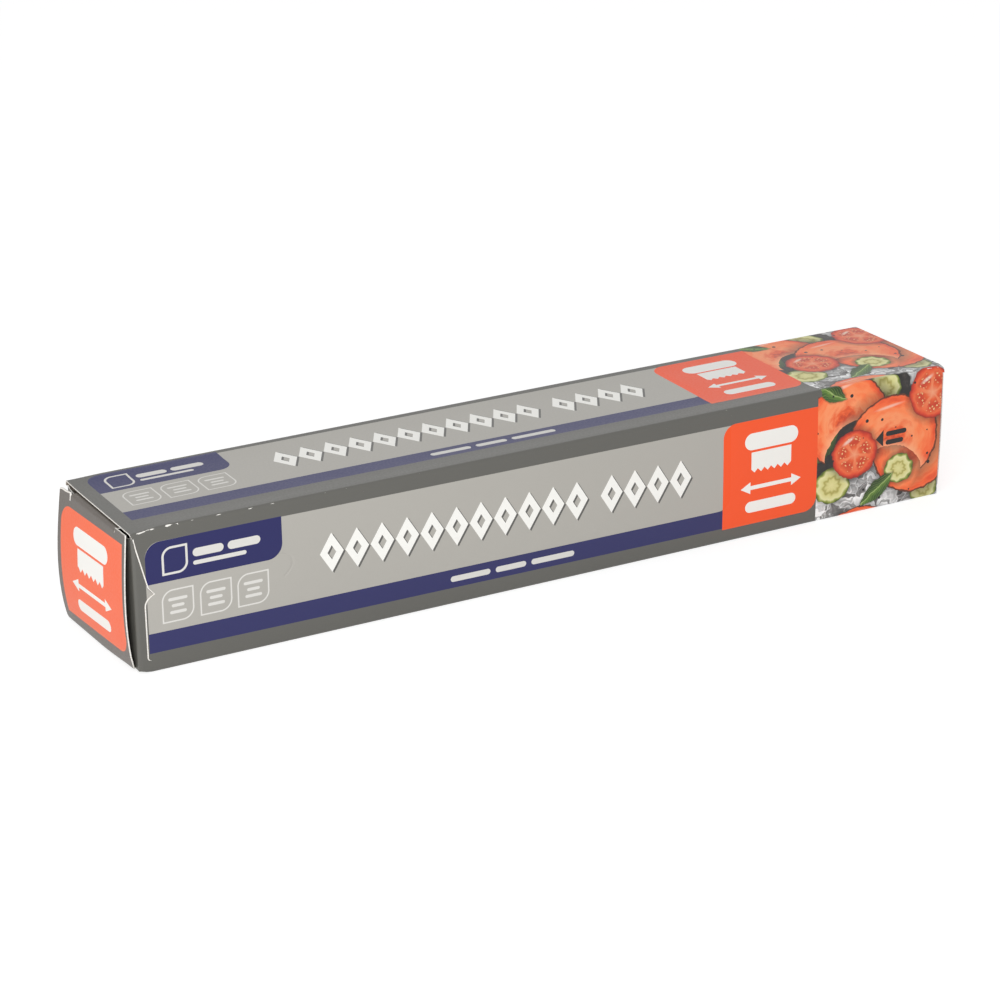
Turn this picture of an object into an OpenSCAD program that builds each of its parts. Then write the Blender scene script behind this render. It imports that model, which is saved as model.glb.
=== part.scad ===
// Boxed roll of kitchen foil: one long folding carton, closed at both ends.
// X runs along the carton, the front panel faces -Y and the bottom panel lies on z = 0.
// The origin is under the middle of the whole outline. All sizes are in millimetres.
// The wrapped roll fills the carton and nothing shows it, so the inside is solid.

/* [Carton] */
// Length of the top panel, from one cut end to the other
carton_l = 307; // [220:1:460]
// Depth of the carton, front panel to back panel
carton_d = 54; // [38:0.5:90]
// Height of the carton, bottom panel to top panel
carton_h = 47.5; // [38:0.5:90]
// Thickness of the boxboard
board_t = 0.45; // [0.3:0.05:0.8]
// Outer radius of the long folds
fold_r = 1; // [0.8:0.1:2]
// Outer radius of the upright folds at the two ends
side_fold_r = 1.2; // [0.8:0.1:2]
// How far the upright folds sit in from the top panel's cut ends
side_inset = 0.3; // [0.1:0.1:1]
// How far the back panel's cut lower edge stays clear of the ground
seam_lift = 0.4; // [0.2:0.1:1]

/* [Left end flap] */
// How far the flap swells past the chord from its fold to its lip
left_bulge = 2.1; // [0.4:0.1:4]
// How far the lip's fold stands out past the bottom fold
left_lean = 0.4; // [0:0.1:2]
// Clearance between the flap and the dust flaps behind it, at its bottom fold
left_seat = 1.1; // [0.1:0.05:2]
// How far the flap is folded out of square, its back edge outwards, in degrees
left_skew = 1.8; // [0:0.1:3]
// How far the torn back shoulder drops below the front one
torn_drop = 1.4; // [0.4:0.1:3]

/* [Right end flap] */
// How far the flap swells past the chord from its fold to its lip
right_bulge = 0.6; // [0.4:0.1:4]
// How far the lip's fold stands out past the bottom fold
right_lean = 0; // [0:0.1:2]
// Clearance between the flap and the dust flaps behind it, at its bottom fold
right_seat = 0.25; // [0.1:0.05:2]
// How far the flap is folded out of square, its back edge outwards, in degrees
right_skew = 0; // [0:0.1:3]

/* [Both end flaps] */
// Clearance at the front and at the back edge of a flap
flap_side_gap = 0.8; // [0.3:0.1:2]
// Radius of the flap's folds, measured to the middle of the board
flap_fold_r = 0.8; // [0.5:0.05:1.5]
// Gap between the tucked lip and the top panel over it
lip_gap = 0.5; // [0.2:0.05:1]
// How far the lip runs in under the top panel
lip_l = 9; // [4:0.5:20]
// Length of the slits that free the lip from its two shoulders
lip_slit_l = 9; // [4:0.5:14]
// How far the shoulders' cut edges stay below the top of the carton
shoulder_drop = 0.6; // [0.2:0.1:2]
// Length of the dust flaps, folded in from the front and from the back
dust_flap_l = 18; // [10:0.5:18.5]

/* [Tear-open front] */
// Where the tear line ends its slanted run, in from the left end
slant_in = 4.7; // [2:0.1:8]
// Height of the slanted run, down from the top fold
slant_h = 18.8; // [10:0.1:24]
// How far the nick's point lies past the end of the slanted run
nick_in = 2; // [1:0.1:4]
// How far the nick's point lies below the slanted run
nick_h = 2.4; // [1:0.1:5]
// Where the upright run of the tear line lies, in from the left end
upright_in = 3.3; // [2:0.1:6]
// Height of the curve from the nick back to the upright run
curve_h = 4; // [3:0.1:8]
// Height of the cut line along the foot of the front panel
foot_h = 4; // [2.5:0.1:8]
// Radius of the hook that turns the tear line into the foot line
hook_r = 0.9; // [0.6:0.1:2]
// Width of the slits
slit_w = 0.3; // [0.15:0.05:0.5]
// How deep the strip beside the tear line sits at the top
strip_sink = 0.4; // [0.1:0.05:0.8]
// Distance between the uncut nicks of the foot line
nick_pitch = 12.6; // [6:0.1:25]
// Length of each uncut nick
nick_l = 0.7; // [0.3:0.1:2]

/* [Hidden] */

// Number of steps in a long round stretch of an outline, and in a short one
FINE = 20;
COARSE = 6;
// Number of sides of a whole round fold
ROUND = 48;
// Overrun of a cutting solid past the face it cuts
CUT = 1;
// How far the bottom panel's board runs on inside the carton, before a flap's fold
fold_in = 2;
// Where the curve below the nick turns most, as a share of its height
bend_share = 1 / 3;

left_x = -carton_l / 2;
fold_line = carton_l / 2 - side_inset;
flap_w = carton_d - 2 * flap_side_gap;
lip_w = flap_w - 2 * lip_slit_l;
lip_z = carton_h - board_t - lip_gap - board_t / 2;
shoulder_z = carton_h - shoulder_drop;
foot_slit_w = slit_w / 2;

// Points of a round stretch about a centre, between two angles. It carries on from the point
// before it, so its own first point is left out.
function arc(centre, r, from, to, steps) =
    [for (i = [1:steps]) let (a = from + (to - from) * i / steps) centre + r * [cos(a), sin(a)]];

function unit(v) = v / norm(v);

// Unit vector square to the path at its point i, shared between the steps on its two sides
function side(path, i) =
    let (
        last = len(path) - 1,
        before = unit(path[max(i, 1)] - path[max(i, 1) - 1]),
        after = unit(path[min(i, last - 1) + 1] - path[min(i, last - 1)]),
        d = unit(before + after)
    ) [-d[1], d[0]];

// Outline of a strip of width w laid along a path
function strip(path, w) = concat(
    [for (i = [0:len(path) - 1]) path[i] + side(path, i) * w / 2],
    [for (i = [len(path) - 1:-1:0]) path[i] - side(path, i) * w / 2]
);

// The big arc of a flap, as [centre, radius]. It runs from the bottom fold to the lip's fold.
function swell(bulge, lean) =
    let (
        chord = [lean, lip_z],
        c = norm(chord),
        r = c * c / (8 * bulge) + bulge / 2,
        out = [chord[1], -chord[0]] / c
    ) [chord / 2 - out * (r - bulge), r];

// Centre of a small fold of radius r that meets a swell and the level z
function fold_centre(s, z, r) =
    [s[0][0] + sqrt(pow(s[1] - r, 2) - pow(z - s[0][1], 2)), z];

function angle_from(a, b) = atan2(b[1] - a[1], b[0] - a[0]);

// Path of the flap from under the carton, round the bottom fold and up its swell.
// The first point lies inside the carton, far enough for a skewed flap to stay joined to it.
function rise(bulge, lean, seat, top_angle) =
    let (
        s = swell(bulge, lean),
        f = fold_centre(s, board_t / 2 + flap_fold_r, flap_fold_r),
        start = angle_from(s[0], f)
    ) concat(
        [[-seat - fold_in, board_t / 2], [f[0], board_t / 2]],
        arc(f, flap_fold_r, -90, start, COARSE),
        arc(s[0], s[1], start, top_angle, FINE)
    );

// Path of the shoulders, which end in a cut edge at height z
function shoulder_path(bulge, lean, seat, z) =
    let (s = swell(bulge, lean))
    rise(bulge, lean, seat, asin((z - s[0][1]) / s[1]));

// Path of the middle, which folds over into the lip
function lip_path(bulge, lean, seat) =
    let (
        s = swell(bulge, lean),
        f = fold_centre(s, lip_z - flap_fold_r, flap_fold_r),
        end = angle_from(s[0], f)
    ) concat(
        rise(bulge, lean, seat, end),
        arc(f, flap_fold_r, end, 90, COARSE),
        [[-lip_l, lip_z]]
    );

// How far a flap reaches out from the middle of the carton, at its back edge
function reach(bulge, lean, seat, skew) =
    let (
        outline = strip(lip_path(bulge, lean, seat), board_t),
        out = max([for (p = outline) p[0]])
    ) fold_line + seat + board_t / 2 + out * cos(skew) + flap_w / 2 * sin(skew);

// The two flaps reach out by different amounts, so the carton is set off to centre its outline
off_centre = (
    reach(left_bulge, left_lean, left_seat, left_skew)
    - reach(right_bulge, right_lean, right_seat, right_skew)
) / 2;

// A bar along X with its four long edges rounded
module long_bar(l, d, h, r) {
    translate([-l / 2, -d / 2 + r, 0])
        cube([l, d - 2 * r, h]);
    translate([-l / 2, -d / 2, r])
        cube([l, d, h - 2 * r]);
    for (y = [-d / 2 + r, d / 2 - r], z = [r, h - r])
        translate([-l / 2, y, z])
            rotate([0, 90, 0])
                cylinder(h = l, r = r, $fn = ROUND);
}

// A block with its four upright edges rounded
module upright_block(l, d, h, r) {
    translate([-l / 2 + r, -d / 2, 0])
        cube([l - 2 * r, d, h]);
    translate([-l / 2, -d / 2 + r, 0])
        cube([l, d - 2 * r, h]);
    for (x = [-l / 2 + r, l / 2 - r], y = [-d / 2 + r, d / 2 - r])
        translate([x, y, 0])
            cylinder(h = h, r = r, $fn = ROUND);
}

// The four long panels with their folds, and the front and back folds at each end
module sleeve() {
    intersection() {
        long_bar(carton_l, carton_d, carton_h, fold_r);
        union() {
            upright_block(2 * fold_line, carton_d, carton_h - board_t, side_fold_r);
            translate([-carton_l / 2, -carton_d / 2, carton_h - board_t])
                cube([carton_l, carton_d, board_t]);
        }
    }
    back_seam();
}

// The back panel's cut lower edge, lapped over the bottom panel's glued fold
module back_seam() {
    translate([-fold_line + side_fold_r, carton_d / 2 - board_t, seam_lift])
        cube([2 * (fold_line - side_fold_r), board_t, fold_r]);
}

// One end flap on the carton's right, drawn as a strip of board and run from front to back.
// With a drop, its back shoulder is torn: it stands that much lower and ends in a hook.
module end_flap(bulge, lean, seat, skew, drop) {
    translate([fold_line + seat + board_t / 2, 0, 0])
        rotate([0, 0, -skew])
            difference() {
                union() {
                    flap_run(lip_path(bulge, lean, seat), -lip_w / 2, lip_w / 2);
                    flap_run(shoulder_path(bulge, lean, seat, shoulder_z),
                        -flap_w / 2, -lip_w / 2);
                    flap_run(shoulder_path(bulge, lean, seat, shoulder_z - drop),
                        lip_w / 2, flap_w / 2);
                }
                if (drop > 0)
                    torn_hook(drop, bulge + lean);
            }
}

// A strip of board that follows a path in X and Z, between two depths
module flap_run(path, from_y, to_y) {
    translate([0, to_y, 0])
        rotate([90, 0, 0])
            linear_extrude(height = to_y - from_y)
                polygon(strip(path, board_t));
}

// The gap between the two dust flaps behind an end flap, from the bottom panel up to the lip
module dust_flap_gap() {
    h = lip_z - board_t / 2 - 2 * board_t;
    translate([fold_line - board_t, -carton_d / 2 + dust_flap_l, board_t])
        cube([board_t + CUT, carton_d - 2 * dust_flap_l, h]);
}

// A cut through a flap's back shoulder, curled down and forwards from the end of the lip's slit
module torn_hook(r, out) {
    z = shoulder_z - r;
    hook = concat(
        [[lip_w / 2 + 2 * r, z + CUT], [lip_w / 2 + 2 * r, z]],
        arc([lip_w / 2 + r, z], r, 0, -90, COARSE)
    );
    rotate([90, 0, 90])
        linear_extrude(height = 2 * (out + CUT), center = true)
            polygon(strip(hook, slit_w));
}

// The tear line as a path on the front panel: slanted run, nick, curve, upright run, hook.
// x is measured in from the left end and y up from the bottom.
function tear_path() =
    let (
        slant_end = [slant_in, carton_h - slant_h],
        nick = slant_end + [nick_in, -nick_h],
        rejoin = [upright_in, nick[1] - curve_h],
        bend = [upright_in, nick[1] - bend_share * curve_h]
    ) concat(
        [[slant_in * board_t / slant_h, carton_h - board_t], slant_end, nick],
        [for (i = [1:COARSE]) let (u = i / COARSE)
            (1 - u) * (1 - u) * nick + 2 * u * (1 - u) * bend + u * u * rejoin],
        [[upright_in, foot_h + hook_r]],
        arc([upright_in + hook_r, foot_h + hook_r], hook_r, 180, 270, COARSE)
    );

// Turns an outline drawn on the front panel into a cut of a given depth
module front_cut(depth) {
    translate([left_x, -carton_d / 2 + depth, 0])
        rotate([90, 0, 0])
            linear_extrude(height = depth + CUT)
                children();
}

// The strip left of the tear line, pressed in behind the lid: deepest at the top, level
// with it at the foot
module sunk_strip() {
    intersection() {
        front_cut(strip_sink)
            polygon(concat([[-CUT, carton_h - board_t]], tear_path(), [[-CUT, foot_h]]));
        translate([left_x - CUT, 0, 0])
            rotate([90, 0, 90])
                linear_extrude(height = slant_in + nick_in + 2 * CUT)
                    polygon([
                        [-carton_d / 2 - CUT, foot_h],
                        [-carton_d / 2, foot_h],
                        [-carton_d / 2 + strip_sink, carton_h - board_t],
                        [-carton_d / 2 - CUT, carton_h - board_t]
                    ]);
    }
}

// The cut line along the foot of the front panel, held by short uncut nicks
module foot_line() {
    start = upright_in + hook_r;
    run = carton_l - start - side_fold_r - side_inset;
    for (at = [0:nick_pitch:run - nick_l])
        front_cut(board_t)
            translate([start + at, foot_h - foot_slit_w / 2])
                square([min(nick_pitch, run - at) - nick_l, foot_slit_w]);
}

module carton() {
    color("#75716a")
        translate([off_centre, 0, 0]) {
            difference() {
                sleeve();
                sunk_strip();
                front_cut(board_t)
                    polygon(strip(tear_path(), slit_w));
                foot_line();
                dust_flap_gap();
                mirror([1, 0, 0])
                    dust_flap_gap();
            }
            end_flap(right_bulge, right_lean, right_seat, right_skew, 0);
            mirror([1, 0, 0])
                end_flap(left_bulge, left_lean, left_seat, left_skew, torn_drop);
        }
}

carton();
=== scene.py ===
# %% [markdown]
# A boxed roll of kitchen foil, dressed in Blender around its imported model.
#
# The real object is one sheet of folding boxboard: die-cut, printed on one side, creased,
# folded round the roll and glued. So every piece here starts as a flat blank drawn in
# millimetres, is scored along its creases, is folded into place, and only then gets the
# thickness of the board. The print is drawn on the same flat millimetres.

# %% Load the frame
import math

import bmesh
import bpy
from mathutils import Matrix, Vector


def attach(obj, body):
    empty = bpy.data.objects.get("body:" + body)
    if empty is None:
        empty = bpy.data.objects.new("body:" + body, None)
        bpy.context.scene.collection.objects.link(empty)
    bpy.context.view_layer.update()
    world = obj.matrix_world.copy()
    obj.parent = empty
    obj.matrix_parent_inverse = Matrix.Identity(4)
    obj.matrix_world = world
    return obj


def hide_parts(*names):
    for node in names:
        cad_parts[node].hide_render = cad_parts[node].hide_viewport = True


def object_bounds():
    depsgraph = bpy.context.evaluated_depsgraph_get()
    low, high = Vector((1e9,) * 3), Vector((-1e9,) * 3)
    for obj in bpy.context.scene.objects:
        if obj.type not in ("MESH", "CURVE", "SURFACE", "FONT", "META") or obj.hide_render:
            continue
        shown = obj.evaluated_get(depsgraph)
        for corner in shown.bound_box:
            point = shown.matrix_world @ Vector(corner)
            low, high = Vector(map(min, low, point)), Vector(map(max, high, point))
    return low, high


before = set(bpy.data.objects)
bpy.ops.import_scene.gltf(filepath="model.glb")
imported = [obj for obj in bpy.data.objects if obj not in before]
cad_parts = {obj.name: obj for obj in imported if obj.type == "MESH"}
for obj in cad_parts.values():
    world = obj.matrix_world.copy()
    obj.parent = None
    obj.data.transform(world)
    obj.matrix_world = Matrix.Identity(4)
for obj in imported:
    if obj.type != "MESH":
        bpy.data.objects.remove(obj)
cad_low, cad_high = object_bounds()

MM = 0.001
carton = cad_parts["carton"]
depth = (cad_high.y - cad_low.y) / MM
height = cad_high.z / MM
print(f"outline {(cad_high.x - cad_low.x) / MM:.1f} x {depth:.1f} x {height:.1f} mm")

# %% [markdown]
# The outline includes the swollen end flaps, so the long panels are measured on the model:
# only the top panel reaches the full height, and its two cut ends give its length and the
# place of its middle.

# %% Measure the top panel
LEVEL = 0.01 * MM
top_x = [v.co.x / MM for v in carton.data.vertices if v.co.z > cad_high.z - LEVEL]
length = max(top_x) - min(top_x)
half = length / 2
middle_x = (max(top_x) + min(top_x)) / 2
print(f"top panel {length:.1f} mm long, its middle at x {middle_x:.2f} mm")

# %% [markdown]
# Boxboard for such a carton is a little under half a millimetre thick, and a crease in it
# turns in about a millimetre. Each sheet has three finishes: its print, back and core.

# %% Sizes of the board and its folds
board = 0.45
fold_r = 1.0
side_fold_r = 1.2
wall_x = half - 0.3
seam_lift = 0.4
foot_h = 4.2
lap = 0.6
ARC_STEPS = 6
COLUMN = 12.0
TOUCH = 1e-3
PRINT, BACK, CORE = range(3)

# %% [markdown]
# A path is a list of sharp corners in a cross-section. A distance along it turns into a
# point of the folded sheet, with its corners rounded by the creases. It is counted along
# the sharp path, so that the print is placed by plain millimetres.

# %% Follow a creased path
def along(path, distance, radius):
    """Point at a distance along a path of sharp corners whose turns are rounded."""
    points = [Vector(p) for p in path]
    start = 0.0
    for i in range(len(points) - 1):
        step = points[i + 1] - points[i]
        last = i == len(points) - 2
        if distance <= start + step.length + (1e9 if last else radius):
            ahead = step.normalized()
            past_corner = distance - start
            if i > 0 and past_corner < radius:
                before = (points[i] - points[i - 1]).normalized()
                return turn(points[i], before, ahead, past_corner, radius)
            to_corner = start + step.length - distance
            if not last and to_corner < radius:
                after = (points[i + 2] - points[i + 1]).normalized()
                return turn(points[i + 1], ahead, after, -to_corner, radius)
            return points[i] + ahead * past_corner
        start += step.length
    return points[-1]


def turn(corner, before, after, past, radius):
    """Point on the round crease at a corner, from -radius before it to radius after it."""
    angle = (past + radius) / (2 * radius) * math.pi / 2
    centre = corner + (after - before) * radius
    return centre - after * radius * math.cos(angle) + before * radius * math.sin(angle)


def crease_cuts(at, radius):
    """Score lines over one crease: the arc's own steps and a flat margin on both sides."""
    arc = [at - radius + 2 * radius * i / ARC_STEPS for i in range(ARC_STEPS + 1)]
    return [at - radius - lap, *arc, at + radius + lap]


# %% [markdown]
# The sleeve is followed from the front foot up the front, over the top and down the back.
# The bottom panel has its own path, because its glued tab runs up inside the back panel.

# %% Cross-section of the sleeve
front_y = -depth / 2
back_y = depth / 2
SLEEVE = [(front_y, 0), (front_y, height), (back_y, height), (back_y, 0)]
tab_y = back_y - board - 0.02
TAB_H = 12.0
BASE = [(tab_y, TAB_H), (tab_y, 0), (front_y, 0), (front_y, height)]
front_top = height
back_top = height + depth
back_foot = 2 * height + depth
base_back = TAB_H
base_front = TAB_H + tab_y - front_y
print(f"girth of the sleeve {2 * (height + depth):.0f} mm")


def sleeve_point(u, v):
    """Place of a point of the top panel: u along the carton, v round it from the front foot."""
    y, z = along(SLEEVE, v, fold_r)
    return Vector((u, y, z))


def wall_point(u, v):
    """Place of a point of the front or back panel, which turn in at both ends as dust flaps."""
    y, z = along(SLEEVE, v, fold_r)
    x, inward = along([(0, 0), (wall_x, 0), (wall_x, depth)], abs(u), side_fold_r)
    return Vector((math.copysign(x, u), y - math.copysign(inward, y), z))


# %% [markdown]
# A packed carton isn't a perfect block. The roll presses its panels out a little, both top
# folds stand up between their corners, the upper front corner of the right end stands out
# furthest, and two corners are knocked in. One function moves every folded point, so that
# panels that meet stay together.

# %% Settle the folded board
press_out = 0.3
crown = 0.15
press_run = 60.0
face_reach = 2.0
lift = 0.9
back_lift = 0.55
lift_reach = 11.0
lift_run = 14.0
back_lift_until = 20.0
corner_run = 4.0
corner_loss = 0.6
skew = 1.2
skewed_l = 50.0
KNOCKS = (
    (Vector((half, front_y, height)), Vector((-0.3, 0.3, -0.5)), (4.0, 4.0, 4.0)),
    (Vector((-half, front_y, 0)), Vector((0.35, 0.3, 0.8)), (4.5, 28.0, 6.5)))


def clamp(t):
    return min(max(t, 0.0), 1.0)


def fade(t):
    """Smooth step from 0 to 1."""
    t = clamp(t)
    return t * t * (3 - 2 * t)


def settle(point):
    """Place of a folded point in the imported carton."""
    x, y, z = point
    along_x = 1 - fade((abs(x) - half + press_run) / press_run)
    beside = fade((abs(y) - back_y + face_reach) / face_reach)
    bulge = math.sin(math.pi * clamp(z / height))
    y += math.copysign(press_out * bulge * along_x * beside, y)
    across = math.cos(math.pi * y / depth) if abs(y) < back_y else 0.0
    top_share = fade((z - height + face_reach) / face_reach)
    z += crown * across * along_x * top_share
    from_left = fade((x + half) / lift_run)
    at_corner = fade((x - half + corner_run) / corner_run)
    to_front = fade(1 - (y - front_y) / lift_reach) * from_left
    z += lift * to_front * top_share * (1 - at_corner * corner_loss)
    to_back = fade(1 - (back_y - y) / lift_reach) * (0.5 + 0.5 * from_left)
    to_right = clamp((x - back_lift_until) / (half - back_lift_until))
    z += back_lift * to_back * top_share * (1 - to_right ** 2)
    to_front = math.sin(math.pi / 2 * clamp((back_y - y) / depth))
    out = to_front * (0.3 + 0.7 * z / height)
    x += skew * out * fade((x - half + skewed_l) / skewed_l)
    settled = Vector((x, y, z))
    for corner, push, reach in KNOCKS:
        away = Vector([a / b for a, b in zip(point - corner, reach)]).length
        settled += push * fade(1 - away)
    return settled


# %% [markdown]
# A die-cut blank is an outline with score lines across it: one polygon, bisected along
# every line at which the sheet will bend.

# %% Cut and score a flat blank
def cut_blank(outline, u_cuts, v_cuts, raw=()):
    """A flat blank as a mesh in millimetres, with an edge along every score line.

    Raw is a list of (edge, inner) point lists. Between them the printed layer is gone.
    """
    blank = bmesh.new()
    made = {}

    def corner(at):
        if at not in made:
            made[at] = blank.verts.new((*at, 0))
        return made[at]
    blank.faces.new([corner(at) for at in outline])
    for edge, inner in raw:
        for a, b, c, d in zip(edge, edge[1:], inner[1:], inner):
            strip = blank.faces.new([corner(at) for at in (a, b, c, d)])
            strip.material_index = CORE
    blank.normal_update()
    for face in blank.faces:
        if face.normal.z < 0:
            face.normal_flip()
    for normal, cuts in ((Vector((1, 0, 0)), u_cuts), (Vector((0, 1, 0)), v_cuts)):
        for at in sorted(set(cuts)):
            everything = blank.verts[:] + blank.edges[:] + blank.faces[:]
            bmesh.ops.bisect_plane(
                blank, geom=everything, dist=1e-4, plane_co=normal * at, plane_no=normal)
    return blank


# Cross scores lie along the whole carton, and closer at its ends, where it turns and wears.
COLUMNS = [-half + COLUMN * i for i in range(1, int(length / COLUMN) + 1)]
COLUMNS += [s * (half - d) for s in (-1, 1) for d in (1.5, 3, 5, 8)]


def fold_blank(blank, fold, print_from):
    """Keeps the flat millimetres as the map Print, then moves each point to its folded place."""
    flat = blank.loops.layers.uv.new("Print")
    for face in blank.faces:
        for corner in face.loops:
            u, v, _ = corner.vert.co
            corner[flat].uv = (u, v - print_from)
    for vert in blank.verts:
        vert.co = settle(fold(vert.co.x, vert.co.y))


# %% [markdown]
# The front panel is cut by the tear line: a slant down from the top left corner, a nick,
# a curve back, an upright run and a small hook at the foot. Its left side is a strip that
# stays with the base, and its right side is the lid.

# %% The tear line
slant_in = 4.7
slant_h = 18.8
nick_in = 2.0
nick_h = 2.4
upright_in = 3.45
curve_h = 4.0
hook_r = 1.0
left_end = -half


def tear_line():
    """Points of the tear line from the top fold to the foot, as (u, height)."""
    slant_end = Vector((slant_in, height - slant_h))
    nick = slant_end + Vector((nick_in, -nick_h))
    rejoin = Vector((upright_in, nick.y - curve_h))
    bend = Vector((upright_in, nick.y - curve_h / 3))
    points = [slant_end, nick]
    for i in range(1, ARC_STEPS + 1):
        s = i / ARC_STEPS
        points.append((1 - s) ** 2 * nick + 2 * s * (1 - s) * bend + s ** 2 * rejoin)
    hook = Vector((upright_in + hook_r, foot_h + hook_r))
    for i in range(ARC_STEPS + 1):
        angle = math.pi * (1 + 0.5 * i / ARC_STEPS)
        points.append(hook + hook_r * Vector((math.cos(angle), math.sin(angle))))
    return [(left_end + p.x, p.y) for p in points]


def slant_at(z):
    """Where the slanted run crosses a height."""
    return left_end + slant_in * (height - z) / slant_h


tear = tear_line()
panel_top = height - fold_r - lap
panel_foot = fold_r + lap
hook_u = tear[-1][0]
print(f"tear line of {len(tear)} points, hook at {hook_u - left_end:.1f} mm from the left end")


def tear_u(z):
    """Where the tear line crosses a height. It only ever runs downwards."""
    if z >= tear[0][1]:
        return slant_at(z)
    for (u1, z1), (u2, z2) in zip(tear, tear[1:]):
        if z2 <= z <= z1 and z1 > z2:
            return u2 + (u1 - u2) * (z - z2) / (z1 - z2)
    return hook_u


# %% [markdown]
# Each sheet brings its own map for baking. A long printed side is cut into strips that lie
# one above the other, so that small print stays sharp. The back goes into one low band, and
# each face of a cut edge into a cell of its own.

# %% Map for baking
GUTTER = 0.006
CORE_BAND = 0.11
BACK_BAND = 0.24
CELLS_ACROSS = 64
CELL_R = 0.4


def lay_out(faces, flat, baked, box):
    """Stretches the faces' flat place over a box of the image."""
    corners = [i for face in faces for i in face.loop_indices]
    for k in (0, 1):
        places = [flat[i][k] for i in corners]
        low, reach = min(places), max(places) - min(places)
        for i in corners:
            baked[i].uv[k] = box[k] + (flat[i][k] - low) / reach * (box[k + 2] - box[k])


def lay_cells(faces, baked):
    """Gives each face of a cut edge a small cell of the image."""
    rows = math.ceil(len(faces) / CELLS_ACROSS)
    for n, face in enumerate(faces):
        row, column = divmod(n, CELLS_ACROSS)
        for k, corner in enumerate(face.loop_indices):
            angle = 2 * math.pi * (k + 0.5) / face.loop_total
            x = (column + 0.5 + CELL_R * math.cos(angle)) / CELLS_ACROSS
            y = (row + 0.5 + CELL_R * math.sin(angle)) / rows * CORE_BAND
            baked[corner].uv = (x, y)


def add_bake_map(mesh):
    """Lays the printed side out in strips, and the back and the cut edges below them."""
    flat = [corner.uv.copy() for corner in mesh.uv_layers["Print"].data]
    baked = mesh.uv_layers.new(name="OFBake").data
    printed, back, core = (
        [f for f in mesh.polygons if f.material_index == i] for i in (PRINT, BACK, CORE))
    middles = [sum(flat[i].x for i in f.loop_indices) / f.loop_total for f in printed]
    places = [flat[i] for f in printed for i in f.loop_indices]
    low = min(p.x for p in places)
    wide = max(p.x for p in places) - low
    tall = max(p.y for p in places) - min(p.y for p in places)
    count = max(1, round(math.sqrt(wide / tall)))
    step = (1 - BACK_BAND) / count
    for n in range(count):
        strip = [
            f for f, x in zip(printed, middles)
            if min(int((x - low) / wide * count), count - 1) == n]
        foot = BACK_BAND + n * step
        lay_out(strip, flat, baked, (GUTTER, foot + GUTTER, 1 - GUTTER, foot + step - GUTTER))
    lay_out(back, flat, baked, (GUTTER, CORE_BAND + GUTTER, 1 - GUTTER, BACK_BAND - GUTTER))
    lay_cells(core, baked)


# %% [markdown]
# A folded blank becomes board: the printed face stays where it is, the thickness goes
# inwards, and every cut edge shows the raw core, a little frayed. Edges where two pieces of
# the same sheet go on into each other are joints and stay plain, so that no line shows.

# %% Turn a blank into board
FRAY = 0.07
SHARP_ANGLE = 40


def mark_cuts(blank, joints):
    """Every outer edge is a cut, apart from those that lie along the joints' lines."""
    weight = blank.edges.layers.float.new("bevel_weight_edge")
    for edge in blank.edges:
        if not edge.is_boundary:
            continue
        a, b = (v.co for v in edge.verts)
        on_joint = any(
            max(abs(a[axis] - at), abs(b[axis] - at)) < TOUCH for axis, at in joints)
        edge[weight] = 0.0 if on_joint else 1.0


def make_board(name, blank, fold, inks, joints=(), print_from=0.0):
    """Folds a blank and gives it the thickness of the board. Joints are (axis, line)."""
    mark_cuts(blank, joints)
    bmesh.ops.triangulate(blank, faces=[f for f in blank.faces if len(f.verts) > 4])
    fold_blank(blank, fold, print_from)
    for vert in blank.verts:
        vert.co = (vert.co + Vector((middle_x, 0, 0))) * MM
    flat = bpy.data.meshes.new(name)
    blank.to_mesh(flat)
    blank.free()
    for finish in (inks, board_back, board_core):
        flat.materials.append(finish)
    folded = bpy.data.objects.new(name, flat)
    bpy.context.scene.collection.objects.link(folded)
    solid = folded.modifiers.new("Board", "SOLIDIFY")
    solid.thickness = board * MM
    solid.offset = -1
    solid.material_offset = BACK
    solid.material_offset_rim = CORE
    fray = folded.modifiers.new("Fray", "BEVEL")
    fray.limit_method = "WEIGHT"
    fray.width = FRAY * MM
    fray.segments = 1
    fray.material = CORE
    fray.use_clamp_overlap = True
    bpy.context.view_layer.update()
    evaluated = folded.evaluated_get(bpy.context.evaluated_depsgraph_get())
    mesh = bpy.data.meshes.new_from_object(evaluated)
    folded.modifiers.clear()
    folded.data = mesh
    mesh.name = name
    add_bake_map(mesh)
    mesh.polygons.foreach_set("use_smooth", [True] * len(mesh.polygons))
    mesh.set_sharp_from_angle(angle=math.radians(SHARP_ANGLE))
    print(f"{name}: {len(mesh.polygons)} faces")


# %% [markdown]
# Colours are written as they look on screen. One function adds a node with its settings
# and its inputs.

# %% Colours and nodes
FLAT_PATTERNS = {
    "TexNoise": {"noise_dimensions": "2D"}, "TexVoronoi": {"voronoi_dimensions": "2D"}}


def linear(code):
    """Linear colour of an sRGB hex code."""
    parts = [int(code[i:i + 2], 16) / 255 for i in (1, 3, 5)]
    return (*[c / 12.92 if c <= 0.04045 else ((c + 0.055) / 1.055) ** 2.4 for c in parts], 1)


def emptied_tree(owner):
    """Node tree of a world or a material, without its first nodes."""
    owner.use_nodes = True
    owner.node_tree.nodes.clear()
    return owner.node_tree


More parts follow.
